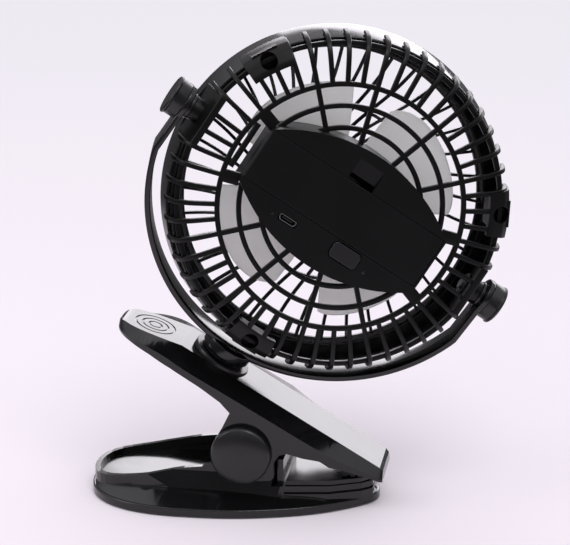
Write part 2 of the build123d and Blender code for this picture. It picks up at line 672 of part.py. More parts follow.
def blade():
    """Helical blade, thicker in angle than in depth."""
    pts = [(11.0, -0.9), (BLADE_R + 3, -3.7), (BLADE_R + 3, 3.7), (11.0, 0.9)]
    face = make_face(Polyline(*pts, close=True))
    twist = Solid.extrude_linear_with_rotation(face.face(), (0, 0, 0), (0, 0, 10.6), -BLADE_TWIST)
    return Pos(0, 0, -12.6) * twist


def impeller():
    hub = disc(HUB_R, -14.2, -0.9) - disc(HUB_R - 1.8, -12.4, 2)
    hub += disc(3.0, -12.5, -11.6)
    fins = [Rot(0, 0, BLADE_AT + BLADE_TWIST / 2 + 90 * k) * blade() for k in range(4)]
    part = Part() + fins
    part = (part & disc(BLADE_R, -20, 5)) - disc(HUB_R - 1.0, -20, 5)
    part = part + hub - disc(1.0, -20, -2)
    return HEAD * part


# --------------------------------------------------------------------- build
NODES = {
    "clip_base": clip_base, "foot_pad": foot_pad, "lower_jaw_pad": lower_jaw_pad,
    "hinge_pin": hinge_pin, "hinge_caps": hinge_caps, "torsion_spring": torsion_spring,
    "clip_lever": clip_lever, "upper_jaw_pad": upper_jaw_pad, "swivel_collar": swivel_collar,
    "swivel_screw": swivel_screw, "yoke": yoke, "tilt_knobs": tilt_knobs,
    "rear_case": rear_case, "front_grille": front_grille, "front_cap": front_cap,
    "grille_screws": grille_screws, "pivot_axles": pivot_axles, "tilt_washers": tilt_washers,
    "motor_cover": motor_cover, "cover_screws": cover_screws,
    "motor_can": motor_can, "motor_shaft": motor_shaft,
    "battery_cell": battery_cell, "cell_contacts": cell_contacts, "cell_cradle": cell_cradle,
    "circuit_board": circuit_board, "usb_socket": usb_socket, "tact_switch": tact_switch,
    "power_button": power_button, "indicator_lights": indicator_lights,
    "battery_door": battery_door, "impeller": impeller,
}

for name, make in NODES.items():
    shape = make()
    export_step(shape, "parts/%s.step" % name)
    print("%-18s volume %9.1f  solids %d" % (name, shape.volume, len(shape.solids())))
print_coil_gap()
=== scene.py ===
import json
import math

import bmesh
import bpy
from mathutils import Matrix, Vector


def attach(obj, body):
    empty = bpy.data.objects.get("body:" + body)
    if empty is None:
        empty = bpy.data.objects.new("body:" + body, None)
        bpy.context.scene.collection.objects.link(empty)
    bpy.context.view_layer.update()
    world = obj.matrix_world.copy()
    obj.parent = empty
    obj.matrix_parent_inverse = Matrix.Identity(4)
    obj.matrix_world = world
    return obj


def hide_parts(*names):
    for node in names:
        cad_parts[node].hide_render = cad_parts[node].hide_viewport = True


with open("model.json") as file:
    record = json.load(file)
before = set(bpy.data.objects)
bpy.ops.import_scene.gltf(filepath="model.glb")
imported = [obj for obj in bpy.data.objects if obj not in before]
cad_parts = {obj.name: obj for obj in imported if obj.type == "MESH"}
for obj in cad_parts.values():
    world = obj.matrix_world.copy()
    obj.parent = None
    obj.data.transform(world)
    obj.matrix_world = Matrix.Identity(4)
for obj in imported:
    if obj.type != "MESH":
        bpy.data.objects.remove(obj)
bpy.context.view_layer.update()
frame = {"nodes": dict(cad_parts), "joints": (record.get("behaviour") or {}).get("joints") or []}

joints = {joint["name"]: joint for joint in frame["joints"]}


# ---------------------------------------------------------------- clip base
# The lower half of the clip: a lens-shaped plate with a handle loop whose wall
# rises to the hinge. Injection-moulded ABS from a polished tool, so it is
# black, mirror-smooth up close and very slightly wavy over a few millimetres.
MM = 0.001


def linear(code):
    """sRGB hex colour as linear RGBA."""
    values = [int(code[i:i + 2], 16) / 255 for i in (1, 3, 5)]
    return [v / 12.92 if v <= 0.04045 else ((v + 0.055) / 1.055) ** 2.4 for v in values] + [1.0]


def add(tree, kind, inputs=None, **fields):
    """Adds a node; an input is given a value, or the socket that feeds it."""
    made = tree.nodes.new(kind)
    for name, value in fields.items():
        setattr(made, name, value)
    for key, value in (inputs or {}).items():
        socket = made.inputs[key]
        if isinstance(value, bpy.types.NodeSocket):
            tree.links.new(value, socket)
        else:
            socket.default_value = value
    return made


def new_material(name):
    """An empty material with its node tree."""
    material = bpy.data.materials.new(name)
    material.use_nodes = True
    material.node_tree.nodes.clear()
    return material, material.node_tree


SINK_WAVE = 9 * MM
SMEAR_SIZE, SMEAR_SPREAD = 22 * MM, 0.04
GLOW_DEPTH = 5 * MM
GLOW_TINT = (1.0, 0.96, 0.9)


def moulded(name, color, roughness, grain_mm, grain_depth, wave_depth=0.0, ior=1.5, metallic=0.0,
            glow_through=0.0):
    """Moulded or ground surface; the grain's size and the depths of the relief are in mm.

    Fine grain and slow sink waves make its bump, and wide smears make its gloss a
    little uneven. glow_through is how much of its light a thin wall lets pass.
    """
    material, tree = new_material(name)
    place = add(tree, "ShaderNodeTexCoord").outputs["Object"]
    grain = add(tree, "ShaderNodeTexNoise", {"Vector": place, "Scale": 1 / (grain_mm * MM), "Detail": 3.0})
    smear = add(tree, "ShaderNodeTexNoise", {"Vector": place, "Scale": 1 / SMEAR_SIZE, "Detail": 5.0})
    gloss = add(tree, "ShaderNodeMapRange", {"Value": smear.outputs["Fac"], "From Min": 0.3,
                                             "From Max": 0.7, "To Min": roughness - SMEAR_SPREAD,
                                             "To Max": roughness + SMEAR_SPREAD})
    bump = add(tree, "ShaderNodeBump", {"Height": grain.outputs["Fac"], "Distance": grain_depth * MM,
                                        "Strength": 1.0})
    if wave_depth:
        wave = add(tree, "ShaderNodeTexNoise", {"Vector": place, "Scale": 1 / SINK_WAVE, "Detail": 1.0})
        bump = add(tree, "ShaderNodeBump", {"Height": wave.outputs["Fac"], "Distance": wave_depth * MM,
                                            "Strength": 1.0, "Normal": bump.outputs["Normal"]})
    shader = add(tree, "ShaderNodeBsdfPrincipled", {"Base Color": linear(color), "IOR": ior,
                                                    "Metallic": metallic,
                                                    "Roughness": gloss.outputs["Result"],
                                                    "Subsurface Weight": glow_through,
                                                    "Subsurface Radius": GLOW_TINT,
                                                    "Subsurface Scale": GLOW_DEPTH,
                                                    "Normal": bump.outputs["Normal"]})
    add(tree, "ShaderNodeOutputMaterial", {"Surface": shader.outputs["BSDF"]})
    return material


WELD_GAP = 0.004
FLAT_WITHIN = 0.8
EDGE_ANGLE = 32


def edged(node, material, width):
    """Finishes a CAD node: flat faces joined, edges rounded by a width in mm, or left as they are at 0."""
    piece = frame["nodes"][node]
    piece.data.materials.clear()
    piece.data.materials.append(material)
    if width:
        piece.modifiers.new("weld", "WELD").merge_threshold = WELD_GAP * MM
        flat = piece.modifiers.new("flat", "DECIMATE")
        flat.decimate_type = "DISSOLVE"
        flat.angle_limit = math.radians(FLAT_WITHIN)
        soften(piece, width)


def soften(piece, width, angle=EDGE_ANGLE, segments=3):
    """Rounds the edges sharper than the angle in degrees; width in mm."""
    bevel = piece.modifiers.new("edges", "BEVEL")
    bevel.width = width * MM
    bevel.segments = segments
    bevel.limit_method = "ANGLE"
    bevel.angle_limit = math.radians(angle)
    bevel.harden_normals = True
    bevel.use_clamp_overlap = True


polished_abs = moulded("polished black ABS", "#0d0d0e", 0.13, 1.2, 0.0015, 0.02)
edged("clip_base", polished_abs, 0.45)


# ------------------------------------------------------------ pads of the clip
# A thin foot under the plate and a block under the lever's tip are black rubber,
# matte with a fine pebble from the mould. The strip on the lower jaw is smooth
# silicone, cast against a polished plate, so it mirrors the room.
pad_rubber = moulded("moulded black rubber", "#151515", 0.62, 0.35, 0.012)
smooth_silicone = moulded("smooth black silicone", "#0e0e0f", 0.14, 1.0, 0.0015, 0.01)
edged("foot_pad", pad_rubber, 0)
edged("lower_jaw_pad", smooth_silicone, 0.3)
edged("upper_jaw_pad", pad_rubber, 0.25)


# ------------------------------------------------------------ hinge and spring
# A ground steel pin with a soft grey sheen, and round it a torsion spring of
# bright drawn wire, with one leg on the floor of the base and one under the lever.
ground_steel = moulded("ground steel", "#9c9c9e", 0.3, 0.3, 0.001, metallic=1.0)
drawn_wire = moulded("drawn spring wire", "#b9b9bc", 0.22, 0.2, 0.0015, metallic=1.0)
edged("hinge_pin", ground_steel, 0)
edged("torsion_spring", drawn_wire, 0)


# ------------------------------------------------------------ lever
# The upper jaw: the same polished black ABS as the base, a flat top with a
# rounded rim, three shallow grip rings on the thumb end, cheeks down to the pin.
edged("clip_lever", polished_abs, 0.7)


# ------------------------------------------------------------ caps and collar
# Large domed caps close both ends of the pin, and a low stepped flange is the
# collar of the swivel: moulded ABS, satin, so that it blurs what it reflects.
# The swivel's screw is blackened steel, dull and dark.
satin_abs = moulded("satin black ABS", "#101011", 0.3, 0.5, 0.003, 0.006)
edged("hinge_caps", satin_abs, 0.3)
edged("swivel_collar", satin_abs, 0.3)
blackened = moulded("blackened screw", "#141416", 0.34, 0.3, 0.002, metallic=0.7)
edged("swivel_screw", blackened, 0.1)


# ------------------------------------------------------------ yoke
# A C-shaped band with a short neck below and round ears at its ends, moulded
# in the polished black ABS; the edges of the band are well rounded.
def local_frame(origin, x_axis, z_axis):
    """Millimetres in a local frame to metres in the model's frame."""
    z = Vector(z_axis).normalized()
    x = Vector(x_axis).normalized()
    turn = Matrix((x, z.cross(x), z)).transposed().to_4x4()
    return Matrix.Translation(origin) @ turn @ Matrix.Scale(MM, 4)


HEAD_AT = Vector(joints["head_tilt"]["pos_m"])
AXIS_U = Vector(joints["head_tilt"]["axis"])
AXIS_S = Vector(joints["swivel_turn"]["axis"])
AXIS_N = -Vector(joints["impeller_spin"]["axis"])
HEAD = local_frame(HEAD_AT, AXIS_U, AXIS_N)
YOKE = local_frame(HEAD_AT, AXIS_U, AXIS_U.cross(AXIS_S))


def soft_corners(points, radius, steps=4):
    """Outline with its corners rounded."""
    out = []
    count = len(points)
    for i, corner in enumerate(points):
        here = Vector(corner)
        before, after = Vector(points[i - 1]), Vector(points[(i + 1) % count])
        start = here + (before - here) * min(0.5, radius / (before - here).length)
        end = here + (after - here) * min(0.5, radius / (after - here).length)
        for step in range(steps + 1):
            t = step / steps
            out.append(start * (1 - t) ** 2 + here * 2 * t * (1 - t) + end * t ** 2)
    return out


def box_outline(left, right, low, high):
    """Four corners of a plain rectangle; of a ring's profile, left and right are radii."""
    return [(left, low), (right, low), (right, high), (left, high)]


def box_section(wide, thick, radius):
    """Rounded rectangle as a section: thick across, wide along the up direction."""
    return soft_corners(box_outline(-thick / 2, thick / 2, -wide / 2, wide / 2), radius, 3)


def close_rows(mesh, rows, ring):
    """Skins rows of vertices; each row is a closed loop."""
    last = len(rows) if ring else len(rows) - 1
    for i in range(last):
        a, b = rows[i], rows[(i + 1) % len(rows)]
        for j in range(len(a)):
            k = (j + 1) % len(a)
            mesh.faces.new((a[j], a[k], b[k], b[j]))
    if not ring:
        mesh.faces.new(rows[0])
        mesh.faces.new(rows[-1])


def lathe(mesh, profile, steps, start=0.0, end=360.0):
    """Turns a closed profile of radius and height about Z."""
    ring = end - start >= 360
    count = steps if ring else steps + 1
    rows = []
    for i in range(count):
        angle = math.radians(start + (end - start) * i / steps)
        c, s = math.cos(angle), math.sin(angle)
        rows.append([mesh.verts.new((r * c, r * s, z)) for r, z in profile])
    close_rows(mesh, rows, ring)


def swept(mesh, path, section, up):
    """Moves a section along a path; section may be one outline or one for each point."""
    rows = []
    for i, here in enumerate(path):
        along = (path[min(i + 1, len(path) - 1)] - path[max(i - 1, 0)]).normalized()
        rise = (up - along * up.dot(along)).normalized()
        across = along.cross(rise)
        outline = section[i] if isinstance(section[0], list) else section
        rows.append([mesh.verts.new(here + across * p + rise * q) for p, q in outline])
    close_rows(mesh, rows, False)


def prism(mesh, outline, low, high):
    """Closed outline in XY between two heights."""
    rows = [[mesh.verts.new((x, y, z)) for x, y in outline] for z in (low, high)]
    close_rows(mesh, rows, False)


MERGE_GAP = 0.002


def as_mesh(name, mesh, place=Matrix()):
    """Closes a mesh's seams, turns its faces outwards and makes it mesh data at its place."""
    bmesh.ops.remove_doubles(mesh, verts=mesh.verts, dist=MERGE_GAP)
    bmesh.ops.recalc_face_normals(mesh, faces=mesh.faces)
    mesh.transform(place)
    data = bpy.data.meshes.new(name)
    mesh.to_mesh(data)
    mesh.free()
    return data


def piece_from(name, mesh, place, body, material):
    """Turns a mesh in local millimetres into a finished piece that rides on a body."""
    return dressed(name, as_mesh(name, mesh, place), body, material)


def dressed(name, data, body, material):
    """Object for a finished mesh, smooth except at its edges."""
    data.materials.clear()
    data.materials.append(material)
    data.polygons.foreach_set("use_smooth", [True] * len(data.polygons))
    data.set_sharp_from_angle(angle=math.radians(EDGE_ANGLE))
    piece = bpy.data.objects.new(name, data)
    bpy.context.scene.collection.objects.link(piece)
    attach(piece, body)
    return piece


YOKE_R, YOKE_T, YOKE_W, YOKE_EDGE = 76.5, 2.3, 13.0, 0.7
EAR_X, EAR_R, AXLE_BORE = 73.6, 7.8, 2.6
EAR_RUN = (0.0, -6.0, -13.0)
BEND_STEPS = 96
middle = YOKE_R - YOKE_T / 2
ear = EAR_X - YOKE_T / 2
first = math.acos(ear / middle)
path = [Vector((-ear, y, 0)) for y in EAR_RUN]
for i in range(BEND_STEPS + 1):
    angle = math.pi + first + (math.pi - 2 * first) * i / BEND_STEPS
    path.append(Vector((middle * math.cos(angle), middle * math.sin(angle), 0)))
path += [Vector((ear, y, 0)) for y in EAR_RUN[::-1]]
mesh = bmesh.new()
swept(mesh, path, box_section(YOKE_W, YOKE_T, YOKE_EDGE), Vector((0, 0, 1)))
yoke_band = piece_from("yoke_band", mesh, YOKE, "yoke", polished_abs)
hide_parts("yoke")


def add_turned(mesh, profile, x, side):
    """Adds a turned form that stands on the tilt axis, from x outwards on one side."""
    form = bmesh.new()
    lathe(form, profile, 64)
    form.transform(Matrix.Translation((side * x, 0, 0)) @ Matrix.Rotation(side * math.pi / 2, 4, "Y"))
    data = bpy.data.meshes.new("turned")
    form.to_mesh(data)
    form.free()
    mesh.from_mesh(data)
    bpy.data.meshes.remove(data)


mesh = bmesh.new()
for side in (-1, 1):
    add_turned(mesh, soft_corners(box_outline(AXLE_BORE, EAR_R, 0, YOKE_T), 0.5), EAR_X - YOKE_T, side)
piece_from("yoke_ears", mesh, YOKE, "yoke", polished_abs)

# The neck's profile, as radius and distance below the tilt axis.
neck = [(3.3, 74.4), (8.6, 74.6), (10.7, 75.2), (10.7, 79.4), (9.9, 79.8), (9.9, 81.0), (4.6, 81.0),
        (4.6, 79.2), (2.0, 79.2), (2.0, 77.4), (3.3, 77.4)]
DOWN = Matrix.Rotation(math.pi / 2, 4, "X")
mesh = bmesh.new()
lathe(mesh, soft_corners(neck, 0.3, 3), 96)
piece_from("yoke_neck", mesh, YOKE @ DOWN, "yoke", polished_abs)

edged("tilt_knobs", satin_abs, 0.35)
edged("tilt_washers", satin_abs, 0.2)
edged("pivot_axles", ground_steel, 0)


# ------------------------------------------------------------ rear cage
# The back of the head, one moulding in the real fan: four rings, twelve spokes
# and 52 ribs that bend over the rim, four of them cut short by the flats. Black
# ABS with the fine spark grain of its tool, which dulls what it reflects.
grained_abs = moulded("spark-grained black ABS", "#0b0b0b", 0.34, 0.3, 0.008, 0.004, ior=1.33)
RIBS = 52
PITCH = 360 / RIBS


def copies_tree():
    """Geometry Nodes: copies the incoming mesh round Z."""
    tree = bpy.data.node_groups.new("copies round an axis", "GeometryNodeTree")
    face = tree.interface
    face.new_socket("Geometry", in_out="INPUT", socket_type="NodeSocketGeometry")
    ids = {}
    inputs = {"Count": "Int", "First Angle": "Float", "Step": "Float", "Material": "Material"}
    for name, kind in inputs.items():
        ids[name] = face.new_socket(name, in_out="INPUT", socket_type="NodeSocket" + kind).identifier
    face.new_socket("Geometry", in_out="OUTPUT", socket_type="NodeSocketGeometry")
    given = add(tree, "NodeGroupInput")
    places = add(tree, "GeometryNodePoints", {"Count": given.outputs["Count"]})
    index = add(tree, "GeometryNodeInputIndex")
    angle = add(tree, "ShaderNodeMath", {0: index.outputs[0], 1: given.outputs["Step"],
                                         2: given.outputs["First Angle"]}, operation="MULTIPLY_ADD")
    turn = add(tree, "ShaderNodeCombineXYZ", {"Z": angle.outputs[0]})
    turned = add(tree, "FunctionNodeEulerToRotation", {0: turn.outputs[0]})
    copies = add(tree, "GeometryNodeInstanceOnPoints", {"Points": places.outputs[0],
                                                        "Instance": given.outputs["Geometry"],
                                                        "Rotation": turned.outputs[0]})
    real = add(tree, "GeometryNodeRealizeInstances", {0: copies.outputs[0]})
    painted = add(tree, "GeometryNodeSetMaterial", {"Geometry": real.outputs[0],
                                                    "Material": given.outputs["Material"]})
    add(tree, "NodeGroupOutput", {0: painted.outputs[0]})
    return tree, ids


round_copies, copy_inputs = copies_tree()


def evaluated(piece):
    """Mesh data of a piece as its modifiers leave it."""
    bpy.context.view_layer.update()
    return bpy.data.meshes.new_from_object(piece.evaluated_get(bpy.context.evaluated_depsgraph_get()))


def copied_round(name, mesh, count, first_angle, step, place, body, material):
    """Copies a mesh round the local Z axis as one piece; angles in degrees."""
    seed = bpy.data.objects.new(name + "_seed", as_mesh(name + "_seed", mesh))
    bpy.context.scene.collection.objects.link(seed)
    modifier = seed.modifiers.new("copies", "NODES")
    modifier.node_group = round_copies
    values = {"Count": count, "First Angle": math.radians(first_angle), "Step": math.radians(step),
              "Material": material}
    for key, value in values.items():
        modifier[copy_inputs[key]] = value
    result = evaluated(seed)
    bpy.data.objects.remove(seed)
    result.name = name
    result.transform(place)
    return dressed(name, result, body, material)


def smooth_line(points, per_span):
    """Smooth curve through the points, with a number of steps between each two."""
    pts = [Vector(p) for p in points]
    pts = [pts[0] * 2 - pts[1]] + pts + [pts[-1] * 2 - pts[-2]]
    out = []
    for i in range(1, len(pts) - 2):
        a, b, c, d = pts[i - 1:i + 3]
        for step in range(per_span):
            t = step / per_span
            out.append(0.5 * (2 * b + (c - a) * t + (2 * a - 5 * b + 4 * c - d) * t * t
                              + (3 * b - a - 3 * c + d) * t ** 3))
    return out + [pts[-2]]


# A rib's centre line, as radius and height, and its thickness at each of the points.
rib_line = [(48.6, 13.2), (54.0, 12.95), (59.8, 12.55), (63.7, 11.0), (66.35, 7.7), (67.65, 3.6),
            (68.15, 0.6), (68.42, -1.4), (68.48, -2.0)]
rib_thick = [2.4, 2.4, 2.4, 2.5, 2.3, 1.8, 1.6, 1.5, 1.3]
RIB_WIDE, BAR_EDGE = 1.9, 0.5
RIB_SPAN = 4


def rib_mesh(points, thick):
    """One rib along its centre line, with a blunt rounded foot."""
    mesh = bmesh.new()
    path = smooth_line([(r, 0, z) for r, z in points], RIB_SPAN)
    sections = []
    for i in range(len(path)):
        at, part = divmod(i, RIB_SPAN)
        here, after = thick[at], thick[min(at + 1, len(thick) - 1)]
        near_end = min(1.0, 0.7 + 0.15 * (len(path) - 1 - i))
        sections.append(box_section(RIB_WIDE * near_end, here + (after - here) * part / RIB_SPAN, BAR_EDGE))
    swept(mesh, path, sections, Vector((0, 1, 0)))
    return mesh


def ribs_from(name, first, count, points, thick):
    """A run of neighbouring ribs; their places are counted from the right end of the tilt axis."""
    return copied_round(name, rib_mesh(points, thick), count, (first + 0.5) * PITCH, PITCH, HEAD,
                        "head", grained_abs)


RIBS_PER_SIDE = 24
ribs = [ribs_from("rear_ribs_upper", 1, RIBS_PER_SIDE, rib_line, rib_thick),
        ribs_from("rear_ribs_lower", 27, RIBS_PER_SIDE, rib_line, rib_thick)]
short_line = rib_line[:3] + [(62.6, 12.3)]
for name, first in (("flat_ribs_left", 25), ("flat_ribs_right", -1)):
    ribs_from(name, first, 2, short_line, rib_thick[:4])

RING_R = (49.0, 40.5, 31.8)
BAR = 2.0
GRID_LOW, GRID_TOP = 12.0, 14.4
RIM_R, RIM_LOW, RIM_TOP = 64.6, 6.9, 9.4
FLAT_HALF = 11.0
INTO_FLAT = 0.4
mesh = bmesh.new()
for r in RING_R:
    lathe(mesh, soft_corners(box_outline(r - BAR / 2, r + BAR / 2, GRID_LOW, GRID_TOP), BAR_EDGE, 3), 192)
reach = math.degrees(math.asin((FLAT_HALF - INTO_FLAT) / RIM_R))
for start in (0, 180):
    lathe(mesh, soft_corners(box_outline(RIM_R - BAR / 2, RIM_R + BAR / 2, RIM_LOW, RIM_TOP), BAR_EDGE, 3),
          96, start + reach, start + 180 - reach)
piece_from("rear_rings", mesh, HEAD, "head", grained_abs)

SPOKES = (2, 6, 10, 15, 19, 23, 28, 32, 36, 41, 45, 49)
WIDE_SPOKES = (2, 23, 28, 49)
SPOKE_FROM, WIDE_FROM, INTO_RING = 20.0, 42.0, 0.4
WIDE_BAR, TIE_BAR = 5.2, 2.2
TIE_X, TIE_HALF = -45.9, 10.0
bar_high = GRID_TOP - GRID_LOW - 0.04
mid_height = Vector((0, 0, (GRID_LOW + GRID_TOP) / 2))
mesh = bmesh.new()
for k in SPOKES:
    wide, start = (WIDE_BAR, WIDE_FROM) if k in WIDE_SPOKES else (BAR, SPOKE_FROM)
    angle = math.radians((k + 0.5) * PITCH)
    out = Vector((math.cos(angle), math.sin(angle), 0))
    line = [out * start + mid_height, out * (RING_R[0] - INTO_RING) + mid_height]
    swept(mesh, line, box_section(bar_high, wide, BAR_EDGE), Vector((0, 0, 1)))
line = [Vector((TIE_X, y, 0)) + mid_height for y in (-TIE_HALF, TIE_HALF)]
swept(mesh, line, box_section(bar_high, TIE_BAR, BAR_EDGE), Vector((0, 0, 1)))
piece_from("rear_spokes", mesh, HEAD, "head", grained_abs)


# ------------------------------------------------------------ rear housing
# The eye-shaped box over the motor, cell and board, part of the same moulding:
# thin walls, an opening for the battery door, a finger notch beside it, and
# openings for the button, the socket and two lights.
HOUSE_L, HOUSE_END, HOUSE_H = 41.0, 12.0, 25.5
HOUSE_LOW, HOUSE_TOP = 2.6, 22.8
HOUSE_WALL, HOUSE_ROOF, DOOR_REBATE = 1.8, 1.6, 1.7
ARC_STEPS = 40


def house_outline(inset):
    """Two shallow arcs between flat ends."""
    rise = HOUSE_H - HOUSE_END
    radius = (HOUSE_L ** 2 + rise ** 2) / (2 * rise)
    center = HOUSE_H - radius
    end = HOUSE_L - inset
    span = math.asin(end / (radius - inset))
    top = []
    for i in range(ARC_STEPS + 1):
        angle = span - 2 * span * i / ARC_STEPS
        top.append(((radius - inset) * math.sin(angle), center + (radius - inset) * math.cos(angle)))
    return top + [(-x, -y) for x, y in top]


CUT_ANGLE = 40


def cut_away(piece, mesh, place):
    """Subtracts a mesh in local millimetres from a piece, for good."""
    bmesh.ops.recalc_face_normals(mesh, faces=mesh.faces)
    mesh.transform(place)
    data = bpy.data.meshes.new("cutter")
    mesh.to_mesh(data)
    mesh.free()
    cutter = bpy.data.objects.new("cutter", data)
    bpy.context.scene.collection.objects.link(cutter)
    modifier = piece.modifiers.new("cut", "BOOLEAN")
    modifier.object = cutter
    modifier.solver = "EXACT"
    modifier.use_self = True
    result = evaluated(piece)
    piece.modifiers.remove(modifier)
    piece.data = result
    bpy.data.objects.remove(cutter)


def rectangle(x, y, wide, high, radius):
    """Rounded rectangle about a point."""
    return soft_corners(box_outline(x - wide / 2, x + wide / 2, y - high / 2, y + high / 2), radius)


mesh = bmesh.new()
prism(mesh, house_outline(0.0), HOUSE_LOW, HOUSE_TOP)
housing = piece_from("rear_housing", mesh, HEAD, "head", grained_abs)
mesh = bmesh.new()
prism(mesh, house_outline(HOUSE_WALL), HOUSE_LOW - 1, HOUSE_TOP - HOUSE_ROOF)
cut_away(housing, mesh, HEAD)

# Openings in the roof. The cutters start inside the box and end above it, and the
# door's opening runs out through the left end.
DOOR_FROM, DOOR_TO, DOOR_LOW, DOOR_HIGH = -45, 40.0, -9.8, 12.0
USB_X, USB_Y = -16.8, -14.8
BUTTON_HOLE = (9.9, -14.2, 13.3, 7.5, 2.7)
USB_HOLE = (USB_X, USB_Y, 8.2, 3.2, 1.0)
LIGHTS_AT, LIGHT_HOLE = ((-23.3, -15.7), (20.1, -15.8)), 1.8
INSIDE, ABOVE = 19, 30
mesh = bmesh.new()
prism(mesh, box_outline(DOOR_FROM, DOOR_TO, DOOR_LOW, DOOR_HIGH), HOUSE_TOP - DOOR_REBATE, ABOVE)
prism(mesh, rectangle(*BUTTON_HOLE), INSIDE, ABOVE)
prism(mesh, rectangle(*USB_HOLE), INSIDE, ABOVE)
for x, y in LIGHTS_AT:
    prism(mesh, rectangle(x, y, LIGHT_HOLE, LIGHT_HOLE, LIGHT_HOLE / 2), INSIDE, ABOVE)
cut_away(housing, mesh, HEAD)

# The finger notch slopes down to the door's edge; its section is across and height.
NOTCH_X = (-6.5, 4.9)
notch = [(21.2, 23.4), (21.2, 22.5), (14.6, 21.35), (14.6, 20.4), (11.0, 20.4), (11.0, 23.4)]
mesh = bmesh.new()
rows = [[mesh.verts.new((x, y, z)) for y, z in notch] for x in NOTCH_X]
close_rows(mesh, rows, False)
cut_away(housing, mesh, HEAD)
soften(housing, 0.55, CUT_ANGLE)
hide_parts("rear_case")
edged("battery_door", grained_abs, 0.35)

# The button's grain is shallower than the housing's, and it is a little paler. The
# light pipes are smoked and smooth, and the socket's sheet is plated and bright.
button_abs = moulded("button ABS", "#18181b", 0.3, 0.3, 0.004)
edged("power_button", button_abs, 0.4)
smoked = moulded("smoked light pipe", "#1c1a1a", 0.15, 0.6, 0.002)
edged("indicator_lights", smoked, 0.1)
nickel = moulded("nickel-plated socket", "#c9c9c6", 0.18, 0.4, 0.001, metallic=1.0)

MOUTH_TOP, MOUTH_LOW = HOUSE_TOP - 0.25, 18.0
USB_SHEET = 0.3
TONGUE, TONGUE_LOW, TONGUE_TOP = (USB_X, -14.75, 4.4, 0.7, 0.2), 17.0, 21.6


def usb_mouth(grow):
    """Outline of a micro-USB mouth: wide above, narrow below."""
    side = [(3.4, 0.95), (3.4, -0.1), (2.75, -0.95)]
    side = [(x + grow, y + math.copysign(grow, y)) for x, y in side]
    right = [(USB_X + x, USB_Y + y) for x, y in side]
    left = [(USB_X - x, USB_Y + y) for x, y in side[::-1]]
    return soft_corners(right + left, 0.35)


mesh = bmesh.new()
rows = []
for grow, z in ((0.0, MOUTH_LOW), (USB_SHEET, MOUTH_LOW), (USB_SHEET, MOUTH_TOP), (0.0, MOUTH_TOP)):
    rows.append([mesh.verts.new((x, y, z)) for x, y in usb_mouth(grow)])
close_rows(mesh, rows, True)
usb_shell = piece_from("usb_shell", mesh, HEAD, "head", nickel)
mesh = bmesh.new()
prism(mesh, rectangle(*TONGUE), TONGUE_LOW, TONGUE_TOP)
piece_from("usb_tongue", mesh, HEAD, "head", button_abs)
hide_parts("usb_socket")


# ------------------------------------------------------------ saddles and flats
# Three saddles lie over the ribs and hold the screws of the front guard in deep
# holes. At both ends of the tilt axis the round rim has a flat leaning wall
# with a round stub for the axle. They belong to the moulding of the cage.
SCREWS_AT = (30, 150, 270)
SCREW_R, SADDLE_HALF = 64.6, 8.2
HOLE_R, HOLE_LOW, HOLE_TOP = 3.4, 4.0, 20.0
BOSS_IN, BOSS_OUT, BOSS_HALF, BOSS_LOW, BOSS_TOP = 60.2, 68.6, 5.4, -1.8, 9.4
# The saddle's profile over the rim, as radius and height.
saddle = [(59.6, 14.3), (62.0, 14.0), (66.0, 12.0), (68.4, 8.6), (69.2, 3.0), (69.6, -2.6), (67.85, -2.6),
          (66.85, 4.1), (65.6, 6.8), (59.6, 9.6)]
for number, angle in enumerate(SCREWS_AT):
    place = HEAD @ Matrix.Rotation(math.radians(angle), 4, "Z")
    mesh = bmesh.new()
    lathe(mesh, soft_corners(saddle, 0.7, 3), 16, -SADDLE_HALF, SADDLE_HALF)
    prism(mesh, box_outline(BOSS_IN, BOSS_OUT, -BOSS_HALF, BOSS_HALF), BOSS_LOW, BOSS_TOP)
    boss = piece_from("screw_saddle_%d" % number, mesh, place, "head", grained_abs)
    for piece in (boss, ribs[0] if angle < 180 else ribs[1]):
        mesh = bmesh.new()
        lathe(mesh, box_outline(0, HOLE_R, HOLE_LOW, HOLE_TOP), 40)
        bmesh.ops.remove_doubles(mesh, verts=mesh.verts, dist=MERGE_GAP)
        cut_away(piece, mesh, place @ Matrix.Translation((SCREW_R, 0, 0)))
    soften(boss, 0.3, CUT_ANGLE)

# The flat wall leans outwards towards the front of the head. Its profile is given
# as distance from the axis and height.
flat_wall = [(61.4, 14.4), (64.2, 14.4), (68.0, -9.5), (65.2, -9.5)]
STUB_X, STUB_R, STUB_LONG = 62.2, 5.0, 7.4
mesh = bmesh.new()
for side in (-1, 1):
    rows = []
    for y in (-FLAT_HALF, FLAT_HALF):
        rows.append([mesh.verts.new((side * x, y, z)) for x, z in soft_corners(flat_wall, 0.5, 3)])
    close_rows(mesh, rows, False)
    add_turned(mesh, soft_corners(box_outline(AXLE_BORE, STUB_R, 0, STUB_LONG), 0.4, 3), STUB_X, side)
soften(piece_from("pivot_flats", mesh, HEAD, "head", grained_abs), 0.35, CUT_ANGLE)
edged("grille_screws", blackened, 0.12)


